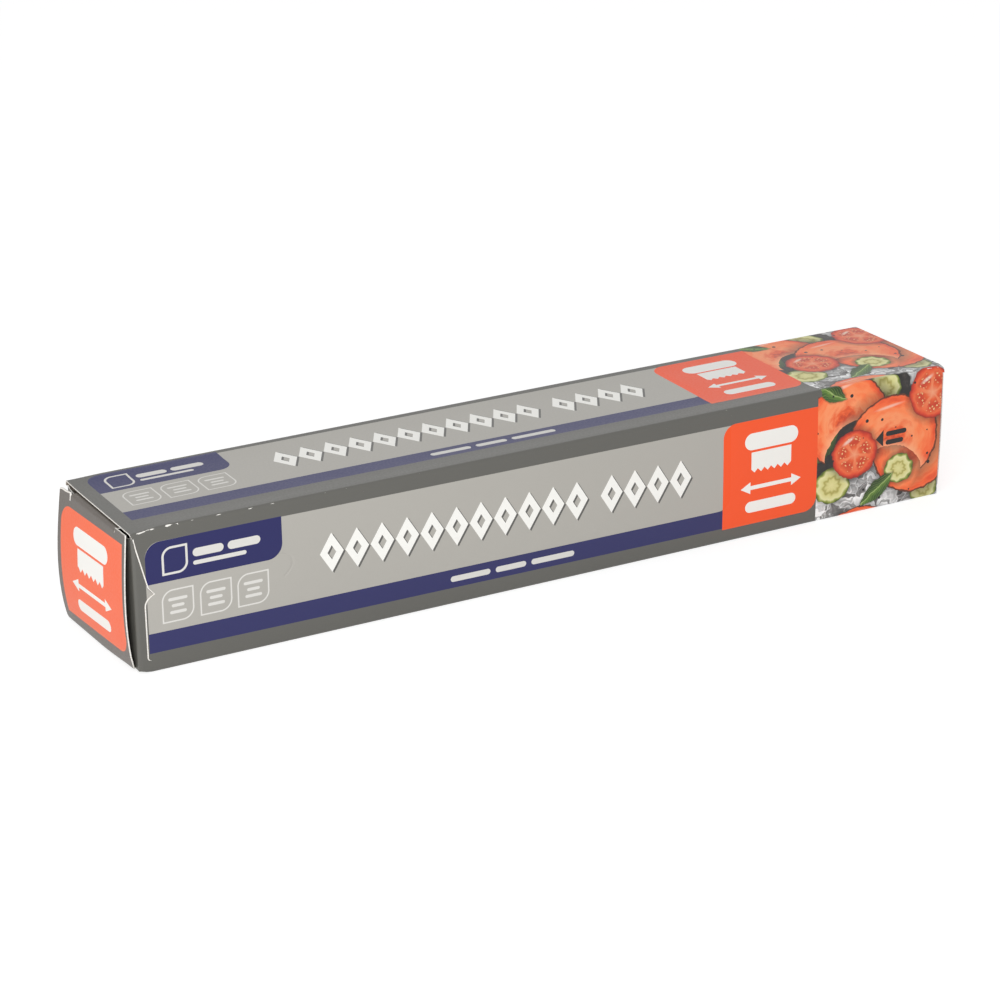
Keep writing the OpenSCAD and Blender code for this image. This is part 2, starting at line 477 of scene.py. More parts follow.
def add(kind, sources=(), out=0, tree=None, stops=(), **settings):
    """Adds one node with its settings and its inputs, given by place or by name.

    A kind can name its operation too. The node joins the tree of the sockets that feed it.
    A colour ramp has (place, hex) stops.
    """
    kind, _, operation = kind.partition(" ")
    inputs = sources if isinstance(sources, dict) else dict(enumerate(sources))
    fed = [key for key, source in inputs.items() if isinstance(source, bpy.types.NodeSocket)]
    tree = tree or inputs[fed[0]].id_data
    node = tree.nodes.new("ShaderNode" + kind)
    if operation:
        node.operation = operation
    for name, value in {**FLAT_PATTERNS.get(kind, {}), **settings}.items():
        setattr(node, name, value)
    for n, (position, code) in enumerate(stops):
        points = node.color_ramp.elements
        point = points[n] if n < len(points) else points.new(position)
        point.position, point.color = position, linear(code)
    for key, source in inputs.items():
        if key in fed:
            tree.links.new(source, node.inputs[key])
        else:
            node.inputs[key].default_value = source
    if not node.outputs:
        return node
    return [node.outputs[i] for i in out] if isinstance(out, tuple) else node.outputs[out]


def ink(under, mask, code):
    """Prints a colour, given as a hex code or a socket, over what is already there."""
    colour = linear(code) if isinstance(code, str) else code
    return add("MixRGB", (mask, under, colour))


# %% [markdown]
# Each printed shape is a mask drawn from the distance to its outline, in millimetres on
# the flat sheet, with x to the right and y down from the panel's upper fold.

# %% Shapes of the print
FAR = 100
SQUARE_R = 0.02
LOZENGE_PITCH = 9.04
LOZENGE_W = 0.94
LOZENGE_HOLE = 0.36
XY = (0, 1)


def distance(value, middle):
    """How far a value is from a middle, on either side."""
    off = add("Math SUBTRACT", (value, middle))
    return add("Math ABSOLUTE", (off,))


def together(masks, how="MAXIMUM"):
    """One mask of several: all that they cover, or with MULTIPLY only what they share."""
    whole = masks[0]
    for mask in masks[1:]:
        whole = add("Math " + how, (whole, mask))
    return whole


def field(place, box, radius, leaf=False):
    """Box with round corners. A leaf has only its upper left and lower right ones round."""
    x0, y0, x1, y1 = box
    local = add("VectorMath SUBTRACT", (place, ((x0 + x1) / 2, (y0 + y1) / 2, 0)))
    grown = (radius, radius, radius)
    if leaf:
        same_side = together(add("SeparateXYZ", (local,), XY), "MULTIPLY")
        is_round = add("Math GREATER_THAN", (same_side, 0.0))
        grown = radius = add("Math MULTIPLY_ADD", (is_round, radius - SQUARE_R, SQUARE_R))
    past = add("VectorMath ABSOLUTE", (local,))
    past = add("VectorMath SUBTRACT", (past, ((x1 - x0) / 2, (y1 - y0) / 2, FAR)))
    past = add("VectorMath ADD", (past, grown))
    past = add("VectorMath MAXIMUM", (past, (0, 0, 0)))
    away = add("VectorMath LENGTH", (past,), 1)
    return add("Math LESS_THAN", (away, radius))


def bar(place, box):
    """Bar with round ends."""
    return field(place, box, (box[3] - box[1]) / 2)


def outline(place, box, radius, stroke):
    """Line round a leaf."""
    x0, y0, x1, y1 = box
    inner = (x0 + stroke, y0 + stroke, x1 - stroke, y1 - stroke)
    whole = field(place, box, radius, leaf=True)
    hollow = field(place, inner, radius - stroke, leaf=True)
    return add("Math SUBTRACT", (whole, hollow))


def lozenges(place, start, count, top, foot):
    """Row of open lozenges."""
    x, y = add("SeparateXYZ", (place,), XY)
    run = add("Math SUBTRACT", (x, start))
    cell = add("Math PINGPONG", (run, LOZENGE_PITCH / 2))
    across = add("Math MULTIPLY_ADD", (cell, -2 / (LOZENGE_PITCH * LOZENGE_W), 1 / LOZENGE_W))
    down = distance(y, (top + foot) / 2)
    ring = add("Math MULTIPLY_ADD", (down, 2 / (foot - top), across))
    inside = add("Math LESS_THAN", (ring, 1.0))
    open_part = add("Math GREATER_THAN", (ring, LOZENGE_HOLE))
    reach = count * LOZENGE_PITCH / 2
    within = add("Math LESS_THAN", (distance(x, start + reach), reach))
    return together([inside, open_part, within], "MULTIPLY")


def triangle(place, tip, base, half_height):
    """Triangle between a tip at (x, y) and an upright base at x = base."""
    x, y = add("SeparateXYZ", (place,), XY)
    run = add("Math SUBTRACT", (x, tip[0]))
    share = add("Math DIVIDE", (run, base - tip[0]))
    slope = add("Math MULTIPLY", (share, half_height))
    below = add("Math LESS_THAN", (distance(y, tip[1]), slope))
    short = add("Math LESS_THAN", (share, 1.0))
    return together([below, short], "MULTIPLY")


# %% [markdown]
# The orange panels carry a plain pictogram of a roll with its sheet hanging down and torn
# off along a toothed edge, over an arrow for its width and a bar.

# %% Pictogram of the roll
def pictogram(place, box):
    """Mask of the pictogram, filling a box."""
    x0, y0, x1, y1 = box
    w, h = x1 - x0, y1 - y0

    def at(a, b, c, d):
        return (x0 + a * w, y0 + b * h, x0 + c * w, y0 + d * h)
    roll = bar(place, at(0.06, 0.0, 0.94, 0.21))
    sheet = field(place, at(0.17, 0.24, 0.83, 0.52), SQUARE_R)
    x, y = add("SeparateXYZ", (place,), XY)
    tooth = add("Math PINGPONG", (x, w * 0.055))
    edge = add("Math MULTIPLY_ADD", (tooth, 1.0, y0 + 0.45 * h))
    above = add("Math LESS_THAN", (y, edge))
    sheet = together([sheet, above], "MULTIPLY")
    shaft = bar(place, at(0.12, 0.66, 0.88, 0.71))
    middle = y0 + 0.685 * h
    left = triangle(place, (x0, middle), x0 + 0.16 * w, 0.075 * h)
    flipped = add("Mapping", (place, (2 * x0 + w, 0, 0), (0, 0, 0), (-1, 1, 1)))
    right = triangle(flipped, (x0, middle), x0 + 0.16 * w, 0.075 * h)
    foot = bar(place, at(0.08, 0.86, 0.92, 1.0))
    return together([roll, sheet, shaft, left, right, foot])


# %% [markdown]
# The picture is a plain arrangement of its own: wedges of roast pumpkin, halved tomatoes,
# slices of courgette, basil leaves and peppercorns on dark slate and crumpled foil. Each
# motif is an ellipse whose own coordinates give its shading.

# %% Motifs of the picture
def motif(place, at, size, turn=0.0):
    """Coordinates of one motif, which are 1 on its rim."""
    return add(
        "Mapping", (place, (*at, 0), (0, 0, math.radians(turn)), (*size, 1)),
        vector_type="TEXTURE")


def disc(place, at, size, turn=0.0):
    """Coordinates of a round motif, and how far they are from its middle."""
    local = motif(place, at, size, turn)
    return local, add("VectorMath LENGTH", (local,), 1)


def bearing(local):
    """Angle round the middle of a motif."""
    x, y = add("SeparateXYZ", (local,), XY)
    return add("Math ARCTAN2", (y, x))


def lay(under, away, colour):
    """Lays a motif over the picture with a thin shadow round it. Its rim is at 1."""
    dark = add("MapRange", (away, 0.9, 1.28, 0.75, 0.0))
    inside = add("Math LESS_THAN", (away, 1.0))
    return ink(ink(under, dark, "#140e0c"), inside, colour)


def sheen(colour, place, at, size, turn, strength):
    """Soft highlight."""
    _, away = disc(place, at, size, turn)
    light = add("MapRange", (away, 0.2, 1.0, strength, 0.0), interpolation_type="SMOOTHSTEP")
    return ink(colour, light, "#fff1e2")


def tomato(under, place, at, size, turn):
    """Halved tomato: skin, flesh, and seed chambers that alternate round its middle."""
    local, away = disc(place, at, size, turn)
    chamber = add("Math PINGPONG", (bearing(local), math.pi / 5))
    chamber = add("MapRange", (chamber, 0.10, 0.26))
    flesh = add("ValToRGB", (away,), stops=[
        (0.0, "#f6a47c"), (0.25, "#f28a5c"), (0.72, "#ee6a3c"), (0.86, "#dd4424"),
        (0.95, "#b92c18"), (1.0, "#8f1f12")])
    jelly = add("ValToRGB", (away,), stops=[
        (0.0, "#f6a47c"), (0.27, "#e9602f"), (0.5, "#c73a1b"), (0.7, "#d9552c"),
        (0.80, "#ee6a3c"), (0.88, "#dd4424"), (1.0, "#8f1f12")])
    seed = add("TexVoronoi", {"Vector": local, "Scale": 6.5, "Randomness": 0.7})
    seed = add("Math LESS_THAN", (seed, 0.22))
    band = add("MapRange", (away, 0.35, 0.45))
    stop = add("Math LESS_THAN", (away, 0.72))
    seed = together([seed, band, stop, chamber], "MULTIPLY")
    return lay(under, away, ink(ink(flesh, chamber, jelly), seed, "#f3c489"))


def courgette(under, place, at, size, turn):
    """Slice of courgette: pale flesh, a ring of seeds, a green rim."""
    local, away = disc(place, at, size, turn)
    petal = add("Math PINGPONG", (bearing(local), math.pi / 9))
    petal = add("MapRange", (petal, 0.0, 0.3, -0.05, 0.05))
    wavy = add("Math ADD", (away, petal))
    colour = add("ValToRGB", (wavy,), stops=[
        (0.0, "#e2dc9a"), (0.30, "#d6d089"), (0.45, "#a9a04f"), (0.56, "#d9d58e"),
        (0.80, "#e6e3a8"), (0.90, "#8d9a3c"), (1.0, "#4b5a20")])
    return lay(under, away, colour)


def wedge(under, place, at, size, turn):
    """Wedge of roast pumpkin: a disc less a disc shifted past its rim, streaked along it."""
    hollow = 0.8
    local, away = disc(place, at, size, turn)
    shifted = add("VectorMath SUBTRACT", (local, (0, 0.9, 0)))
    inner = add("VectorMath LENGTH", (shifted,), 1)
    past_hollow = add("Math SUBTRACT", (1 + hollow, inner))
    edge = together([away, past_hollow])
    along_it = add("CombineXYZ", (bearing(local), away))
    stretched = add("VectorMath MULTIPLY", (along_it, (1.5, 9.0, 1)))
    streak = add("TexNoise", {"Vector": stretched, "Scale": 1.0, "Detail": 3.0})
    grain = add("TexNoise", {"Vector": local, "Scale": 2.2, "Detail": 2.0})
    shade = add("Math MULTIPLY_ADD", (streak, 0.55, away))
    shade = add("Math MULTIPLY_ADD", (grain, 0.35, shade))
    shade = add("Math MULTIPLY", (shade, 0.6))
    colour = add("ValToRGB", (shade,), stops=[
        (0.30, "#c9421a"), (0.42, "#f0622c"), (0.56, "#ff9a66"), (0.68, "#ff8850"),
        (0.80, "#fa6a36"), (0.90, "#e2481f")])
    rim = add("MapRange", (inner, hollow, hollow + 0.16, 0.65, 0.0))
    skin = add("MapRange", (away, 0.955, 0.975))
    colour = ink(ink(colour, rim, "#ffb98c"), skin, "#5a2a12")
    return lay(under, edge, colour)


def basil(under, place, at, size, turn):
    """Leaf with pointed ends, a pale midrib and side veins."""
    x, y = add("SeparateXYZ", (motif(place, at, size, turn),), XY)
    aside = add("Math ABSOLUTE", (y,))
    away = add("Math MULTIPLY_ADD", (x, x, aside))
    slant = add("Math MULTIPLY_ADD", (aside, 1.1, x))
    vein = add("Math PINGPONG", (slant, 0.14))
    vein = add("MapRange", (vein, 0.0, 0.035, 0.5, 0.0))
    rib = add("MapRange", (aside, 0.03, 0.09, 0.8, 0.0))
    half_light = add("MapRange", (y, -0.6, 0.6))
    colour = add("ValToRGB", (half_light,), stops=[
        (0.0, "#20380f"), (0.45, "#41601f"), (0.55, "#5f8430"), (1.0, "#31521a")])
    colour = ink(ink(colour, vein, "#93ad5a"), rib, "#a9bf74")
    return lay(under, away, colour)


# %% Ground and layout of the picture
PICTURE_X = 255.0
PICTURE_H = 52.2


def ground(place):
    """Dark slate with crumpled foil along its foot and in one corner."""
    grain = add("TexNoise", {"Vector": place, "Scale": 0.35, "Detail": 6.0})
    slate = add("ValToRGB", (grain,), stops=[
        (0.3, "#171413"), (0.55, "#2c2725"), (0.75, "#4b4440")])
    bent = add("TexNoise", {"Vector": place, "Scale": 0.12, "Detail": 2.0}, 1)
    bent = add("VectorMath MULTIPLY_ADD", (bent, (14, 14, 0), place))
    skewed = add("VectorMath MULTIPLY", (bent, (0.20, 0.42, 1)))
    facets = {"Vector": skewed, "Scale": 1.0}
    facet = add("SeparateXYZ", (add("TexVoronoi", facets, 1),))
    crease = add("TexVoronoi", facets, feature="DISTANCE_TO_EDGE")
    edge = add("MapRange", (crease, 0.0, 0.12, 0.3, 0.0))
    tone = add("Math MULTIPLY_ADD", (facet, 0.75, edge))
    fine = add("TexNoise", {"Vector": skewed, "Scale": 2.5, "Detail": 5.0})
    tone = add("Math MULTIPLY_ADD", (fine, 0.5, tone))
    foil = add("ValToRGB", (tone,), stops=[
        (0.2, "#3c3a39"), (0.45, "#8d8b8a"), (0.65, "#c3c3c3"), (0.85, "#f1f1f1"),
        (1.0, "#ffffff")])
    x, y = add("SeparateXYZ", (bent,), XY)
    low = add("Math MULTIPLY_ADD", (x, 0.12, y))
    low = add("MapRange", (low, 41.0, 42.0))
    corner = add("Math MULTIPLY_ADD", (x, -0.9, y))
    corner = add("MapRange", (corner, -27.0, -28.5))
    return ink(slate, together([low, corner]), foil)


LAYERS = (
    (basil, ((3, 22), (7.5, 3.2), -50), ((50, 33), (7.0, 2.9), 70)),
    (courgette, ((6, 37), (7.4, 6.8), 10), ((27, 5), (7.0, 5.8), 40), ((45, 45), (6.6, 6.0), 75)),
    (wedge, ((41, 28), (18, 18), 160), ((11, 14), (17, 15.5), -22), ((31, 25), (19, 17), 8),
     ((17, 58), (14, 11), -5)),
    (courgette, ((34, 36), (6.2, 5.4), 20)),
    (tomato, ((15, 27), (9.4, 8.8), 15), ((47, 10), (10.2, 9.4), 50)),
    (basil, ((25, 42), (8.0, 3.3), -35), ((5, 3), (7.0, 3.0), 25)))


def still_life(place):
    """The whole picture, in millimetres from its upper left corner."""
    wobble = add("TexNoise", {"Vector": place, "Scale": 0.3, "Detail": 2.0}, 1)
    loose = add("VectorMath MULTIPLY_ADD", (wobble, (1.6, 1.6, 0), place))
    loose = add("VectorMath SUBTRACT", (loose, (0.8, 0.8, 0)))
    colour = ground(place)
    for draw, *motifs in LAYERS:
        for (x, y), size, turned in motifs:
            colour = draw(colour, loose, (x, y), size, turned)
            if draw is wedge:
                at = (x - 2, y - size[1] * 0.76)
                colour = sheen(colour, place, at, (7.5, 0.8), turned * 0.1 - 8, 0.45)
            if draw is tomato:
                colour = sheen(colour, place, (x - 2.6, y - 5.2), (3.6, 1.0), -28, 0.6)
    corn, chance = add("TexVoronoi", {"Vector": place, "Scale": 0.15}, (0, 1))
    size = add("Math MULTIPLY_ADD", (add("SeparateXYZ", (chance,)), 0.3, -0.2))
    corn = add("Math LESS_THAN", (corn, size))
    return ink(colour, corn, "#120d0b")


# %% [markdown]
# Layout of the print, in millimetres from each panel's left cut end and upper fold. The
# front and the top carry the same design, and the top's fields are a little deeper.

# %% Layout of the long panels
INK_DARK = "#5c5b56"
INK_SILVER = "#aeaba4"
INK_NAVY = "#1e1f58"
INK_ORANGE = "#f7541b"
INK_WHITE = "#f3f2ed"
INK_LINE = "#d8d6d1"
INK_SHADE = "#5d5c59"
END_DARK = "#5e5750"
END_ORANGE = "#f46026"
FIELD_R = 5.0
TAB_R = 5.2
STRIPE_R = 0.05

FRONT = {
    "silver": (4.3, 3.9, 219, 34.4),
    "stripe": (4.2, 34.4, 219, 41.0),
    "slope": 0.0055,
    "tab": (4.3, 4.0, 50.9, 17.9),
    "emblem": (9.8, 6.4, 18.6, 15.8),
    "name": ((20.3, 8.7, 30.8, 11.5), (32.2, 8.7, 43.4, 11.5), (20.3, 12.8, 38.5, 14.2)),
    "icons": ((9.1, 20.0), (22.0, 33.0), (34.8, 45.8)),
    "icons_y": (20.8, 31.9),
    "words": ((63.5, 11), (167.3, 4)),
    "words_y": (12.7, 26.2),
    "line": ((110.7, 125.5), (127.5, 139), (141, 157.4)),
    "line_y": (36.9, 38.9),
    "orange": (216.0, 4.75, 254.5, 42.75),
    "figure": (223.2, 9.5, 247.8, 38.5),
    "picture": 254.5,
    "picture_foot": height + 1.0,
}
TOP = {
    "silver": (5.2, 2.8, 220, 35.3),
    "stripe": (5.2, 35.3, 220, 42.8),
    "slope": 0.004,
    "tab": (5.2, 1.9, 51.9, 16.9),
    "emblem": (10.2, 4.8, 19.2, 14.6),
    "name": ((20.9, 7.1, 31.5, 10.0), (33.0, 7.1, 44.4, 10.0), (20.9, 11.4, 39.5, 12.9)),
    "icons": ((10.2, 21.4), (23.2, 34.4), (36.2, 47.4)),
    "icons_y": (19.7, 31.5),
    "words": ((64.7, 11), (169.0, 4)),
    "words_y": (10.8, 26.0),
    "line": ((111.9, 126.7), (128.7, 140.2), (142.2, 158.6)),
    "line_y": (37.8, 40.1),
    "orange": (217.2, 3.4, 256.0, 44.6),
    "figure": (225.0, 8.4, 249.2, 39.8),
    "picture": 256.0,
    "picture_foot": depth + 9.0,
}


def print_panel(place, plan):
    """Colour of a long panel, and the masks of its silver ink and of its picture."""
    x, y = add("SeparateXYZ", (place,), XY)
    level = add("Math MULTIPLY_ADD", (x, -plan["slope"], y))
    sloped = add("CombineXYZ", (x, level))
    silver = field(sloped, plan["silver"], FIELD_R, leaf=True)
    colour = ink(linear(INK_DARK), silver, INK_SILVER)
    colour = ink(colour, field(sloped, plan["stripe"], STRIPE_R), INK_NAVY)
    colour = ink(colour, field(place, plan["tab"], TAB_R, leaf=True), INK_NAVY)
    light = [outline(place, plan["emblem"], 3.4, 0.75)]
    light += [bar(place, box) for box in plan["name"]]
    y0, y1 = plan["icons_y"]
    for x0, x1 in plan["icons"]:
        light.append(outline(place, (x0, y0, x1, y1), 4.0, 0.5))
        for i, short in enumerate((2.2, 3.3, 2.6)):
            top = y0 + (y1 - y0) / 5 * (1.3 + i)
            light.append(bar(place, (x0 + short, top, x1 - short, top + 1.05)))
    top, foot = plan["line_y"]
    light += [bar(sloped, (x0, top, x1, foot)) for x0, x1 in plan["line"]]
    shifted = add("VectorMath SUBTRACT", (sloped, (0.6, 0.5, 0)))
    for start, count in plan["words"]:
        for at, code in ((shifted, INK_SHADE), (sloped, INK_WHITE)):
            colour = ink(colour, lozenges(at, start, count, *plan["words_y"]), code)
    colour = ink(colour, together(light), INK_LINE)
    orange = field(place, plan["orange"], FIELD_R, leaf=True)
    colour = ink(colour, orange, INK_ORANGE)
    colour = ink(colour, pictogram(place, plan["figure"]), INK_WHITE)
    right = add("Math GREATER_THAN", (x, plan["picture"]))
    above = add("Math LESS_THAN", (y, plan["picture_foot"]))
    bare = add("Math SUBTRACT", (1.0, orange))
    return colour, silver, together([right, above, bare], "MULTIPLY")


# %% [markdown]
# The outside is folding boxboard, offset printed and given a satin varnish: the eye gets
# flat inks under one soft even sheen. The back of the board is unprinted grey pulp, and its
# cut edges show the pale, fibrous core. The scale of a pattern is 1 over its size in
# millimetres: 0.8 for the board's grain and about 30 for its waves.

# %% Varnished print over board
SILVER_METALLIC = 0.25
WORN_AT = 0.72


def new_material(name):
    """Material with an emptied tree, and the flat millimetres of the print."""
    mat = bpy.data.materials.new(name)
    return mat, add("UVMap", tree=emptied_tree(mat), uv_map="Print")


def varnish(colour, flat, silver=0.0, dents=None, picture=None):
    """Satin varnish: roughness near 0.4, broken by the board's own waves below it."""
    fine = add("TexNoise", {"Vector": flat, "Scale": 1.3, "Detail": 3.0})
    wave = add("TexNoise", {"Vector": flat, "Scale": 0.035, "Detail": 2.0})
    relief = add("Math MULTIPLY_ADD", (fine, 0.02, wave))
    if dents:
        relief = add("Math ADD", (dents, relief))
    normal = add("Bump", {"Height": relief, "Distance": 0.25 * MM})
    rough = add("MapRange", (fine, 0.3, 0.7, 0.34, 0.44))
    metallic = add("Math MULTIPLY", (silver, SILVER_METALLIC), tree=flat.id_data)
    coat = {"Roughness": rough, "Normal": normal}
    shader = add("BsdfPrincipled", {"Base Color": colour, "Metallic": metallic, **coat})
    if picture:
        mask, printed = picture
        second = add("BsdfPrincipled", {"Base Color": printed, **coat})
        shader = add("MixShader", (mask, shader, second))
    add("OutputMaterial", {"Surface": shader})


def worn(colour, flat, at, spread, edges):
    """Raw board along a fold at v = at, in dashes about 3 mm long.

    Edges are ranges of (from, to, share).
    """
    u, v = add("SeparateXYZ", (flat,), XY)
    stretched = add("VectorMath MULTIPLY", (flat, (0.35, 1.2, 1)))
    noise = add("TexNoise", {"Vector": stretched, "Scale": 1.0, "Detail": 5.0})
    limit = WORN_AT
    for start, stop, share in edges:
        off = distance(u, (start + stop) / 2)
        reach = (stop - start) / 2
        drop = add("MapRange", (off, reach * 0.8, reach * 1.1, share, 0.0))
        limit = add("Math SUBTRACT", (limit, drop))
    narrow = add("Math MULTIPLY_ADD", (distance(v, at), 0.4 / spread, limit))
    scar = add("Math GREATER_THAN", (noise, narrow))
    return ink(colour, scar, "#efece6")


# %% Finishes of the pieces
end_turn = 1.7
end_drop = 0.8


def place_from(flat, across, down, up=-1):
    """Millimetres from a panel's upper left corner, x to the right and y down."""
    return add("Mapping", (flat, (across, down, 0), (0, 0, 0), (1, up, 1)))


def front_finish():
    mat, flat = new_material("Varnished boxboard, front print")
    place = place_from(flat, half, height)
    start = add("VectorMath ADD", (place, (-PICTURE_X, depth - PICTURE_H, 0)))
    colour, silver, mask = print_panel(place, FRONT)
    arrow = together([
        triangle(place, (278.8, 21.6), 282.0, 3.1), bar(place, (283.0, 19.4, 291.6, 21.2)),
        bar(place, (283.0, 22.6, 290.4, 24.4))])
    picture = ink(still_life(start), arrow, "#0d0b0b")
    varnish(colour, flat, silver, front_dents(place), (mask, picture))
    return mat


def front_dents(place):
    """Height of a faint pressed arc and a scuff beside it, low on the front."""
    arc, away = disc(place, (47.5, 21.5), (7.0, 4.2), -20)
    pressed = add(
        "MapRange", (distance(away, 1.0), 0.0, 0.12, -0.35, 0.0), interpolation_type="SMOOTHSTEP")
    side = add("Math GREATER_THAN", (add("SeparateXYZ", (arc,)), 0.35))
    _, near = disc(place, (66.0, 20.6), (2.6, 1.2), -25)
    rough = add("MapRange", (near, 0.3, 1.0, -0.25, 0.0), interpolation_type="SMOOTHSTEP")
    return add("Math MULTIPLY_ADD", (pressed, side, rough))


def top_finish():
    mat, flat = new_material("Varnished boxboard, top print")
    place = place_from(flat, half, back_top)
    x, y = add("SeparateXYZ", (place,), XY)
    x = add("Math SUBTRACT", (x, PICTURE_X))
    wrapped = add("CombineXYZ", (x, add("Math FLOORED_MODULO", (y, PICTURE_H))))
    colour, silver, mask = print_panel(place, TOP)
    scars = (
        (-half - 1, -half + 8.5, 0.25), (-half + 11, -half + 16.5, 0.34),
        (-half + 20, -half + 52, 0.13))
    colour = worn(colour, flat, front_top + 0.1, 0.75, scars)
    colour = worn(colour, flat, back_top, 0.7, ((-half - 1, -half + 4, 0.15),))
    corner = ((half - 9, half + 1, 0.14),)
    picture = worn(still_life(wrapped), flat, front_top + 0.1, 0.9, corner)
    varnish(colour, flat, silver, picture=(mask, picture))
    return mat


def back_finish():
    mat, flat = new_material("Varnished boxboard, plain print")
    place = place_from(flat, half, -back_top, 1)
    silver = field(place, (4.4, 3.7, length - 4.4, 34.7), STRIPE_R)
    stripe = field(place, (4.4, 34.7, length - 4.4, 41.7), STRIPE_R)
    colour = ink(ink(linear(INK_DARK), silver, INK_SILVER), stripe, INK_NAVY)
    varnish(colour, flat, silver)
    return mat


def end_finish(side, turned=0.0, lowered=0.0):
    """Print of an end flap, moved where the sheet was folded out of square."""
    mat, flat = new_material(f"Varnished boxboard, {side} end print")
    place = place_from(flat, depth / 2, height)
    place = add("Mapping", (place, (0, -lowered, 0), (0, 0, math.radians(turned)), (1, 1, 1)))
    orange = field(place, (2.8, 4.9, 50.0, 42.4), 6.5, leaf=True)
    colour = ink(linear(END_DARK), orange, END_ORANGE)
    varnish(ink(colour, pictogram(place, (11.0, 9.6, 41.0, 38.4)), INK_WHITE), flat)
    return mat


def pulp(name, pale, deep, scale):
    """Unprinted board: matt pulp with fibres about as long as 1 mm divided by the scale."""
    mat, flat = new_material(name)
    fibres = add("TexNoise", {"Vector": flat, "Scale": scale, "Detail": 6.0})
    amount = add("MapRange", (fibres, 0.35, 0.65))
    colour = add("MixRGB", (amount, linear(pale), linear(deep)))
    normal = add("Bump", {"Height": fibres, "Distance": 0.05 * MM, "Strength": 0.6})
    shader = add("BsdfPrincipled", {"Base Color": colour, "Roughness": 0.85, "Normal": normal})
    add("OutputMaterial", {"Surface": shader})
    return mat


board_back = pulp("Grey pulp back of boxboard", "#a59a8e", "#8c7f73", 1.5)
board_core = pulp("Raw core of cut boxboard", "#fbf9f5", "#e6e0d7", 3.0)
top_inks, front_inks, back_inks = top_finish(), front_finish(), back_finish()
left_inks, right_inks = end_finish("left", end_turn, end_drop), end_finish("right")
print(f"{len(bpy.data.materials)} finishes")

# %% [markdown]
# The top panel carries both long top folds. Its two ends are plain cuts. Its front left
# corner is trimmed by the first run of the tear line.

# %% Top panel
top_rear = back_top + fold_r + lap


top_outline = [
    (slant_at(panel_top), panel_top), (half, panel_top), (half, top_rear), (-half, top_rear),
    (-half, height - 0.2)]
top_cuts = crease_cuts(front_top, fold_r) + crease_cuts(back_top, fold_r)
top_cuts += [front_top + d for d in (4, 8, 14, 21, 27, 33, 40, 46, 50)]
make_board(
    "top_panel", cut_blank(top_outline, COLUMNS, top_cuts), sleeve_point, top_inks,
    joints=((1, panel_top), (1, top_rear)))

# %% [markdown]
# The front panel is one sheet with its strip and its foot, slit along the tear line. At both
# ends it turns in as a dust flap. The strip left of the tear line has been pressed in behind
# the lid, more at its top than at its foot.

# %% Front panel
dust_flap_l = 18.0
corner_u = wall_x + side_fold_r
flap_end = wall_x + dust_flap_l
slit_w = 0.12
raw_w = 0.34
strip_sink = 0.4

tear_edge = [(slant_at(panel_top), panel_top), *tear]
fringe = [(u + raw_w, z) for u, z in tear_edge]


def dust_flap(side=1, v_at=lambda z: z):
    """Points of a dust flap's outline, from its foot to its top. V_at turns a height to v."""
    points = (
        (flap_end - 1.5, 5), (flap_end, 7), (flap_end, height - 6),
        (flap_end - 1.5, height - 4.5), (wall_x + 2, height - 2.2))
    return [(side * u, v_at(z)) for u, z in points]


strip_edge = [(u - slit_w, z) for u, z in reversed(tear_edge[:-1])]
front_outline = [
    (corner_u + 4, panel_foot), *dust_flap(), (corner_u, panel_top), *fringe, tear[-1],
    *strip_edge, (-corner_u, panel_top), *reversed(dust_flap(-1)), (-corner_u - 4, panel_foot)]


def front_point(u, v):
    place = wall_point(u, v)
    if u < tear_u(v) - slit_w / 2 and v > foot_h:
        place.y += strip_sink * (v - foot_h) / (height - foot_h)
    return place


front_rows = [panel_foot + 0.8, 4, 7, 11, 16, 21, 26, 31, 36, 41, 44]
long_cuts = COLUMNS + [s * c for s in (-1, 1) for c in crease_cuts(wall_x, side_fold_r)]
make_board(
    "front_panel",
    cut_blank(front_outline, long_cuts, front_rows, raw=[(tear_edge, fringe)]),
    front_point, front_inks, joints=((1, panel_top), (1, panel_foot)))

# %% [markdown]
# The back panel is the outer leaf of the glued seam: its lower edge is a cut that stops just
# above the foot, and the bottom panel's tab runs up behind it.

# %% Back panel
upright_until = back_foot - fold_r - 0.01


def mirrored(right):
    """Outline of a blank with two like ends, from the points of its right one."""
    left = [(-u, v) for u, v in reversed(right)]
    return left[-1:] + right + left[:-1]


def back_v(z):
    return back_foot - z


def back_point(u, v):
    """The lowest part stays upright, because the sheet ends before the foot."""
    place = wall_point(u, min(v, upright_until))
    if v > upright_until:
        place.z = back_v(v)
    return place


back_outline = mirrored([
    (corner_u, top_rear), *reversed(dust_flap(1, back_v)), (wall_x + 3, back_v(3)),
    (corner_u, back_v(1.6)), (wall_x - 0.5, back_v(seam_lift))])
back_rows = [back_v(z) for z in (1.6, 4, 9, 16, 23, 30, 37, 42)]
make_board(
    "back_panel", cut_blank(back_outline, long_cuts, back_rows), back_point, back_inks,
    joints=((1, top_rear),))

# %% [markdown]
# The bottom panel takes the front foot's fold with it. Its ends go on into the end flaps,
# which are a little narrower, and its front fold turns the lower corners.

# %% Bottom panel
flap_side_gap = 0.8
flap_w = depth - 2 * flap_side_gap
flap_root = half - 1.6

root_front = base_front - flap_side_gap
root_back = base_back + flap_side_gap
bottom_outline = mirrored([
    (corner_u - 2, 0), (corner_u - 1.5, root_back), (flap_root, root_back),
    (flap_root, root_front), (corner_u, root_front), (corner_u, base_front - 0.3),
    (corner_u + 4, base_front), (corner_u + 4, base_front + panel_foot)])


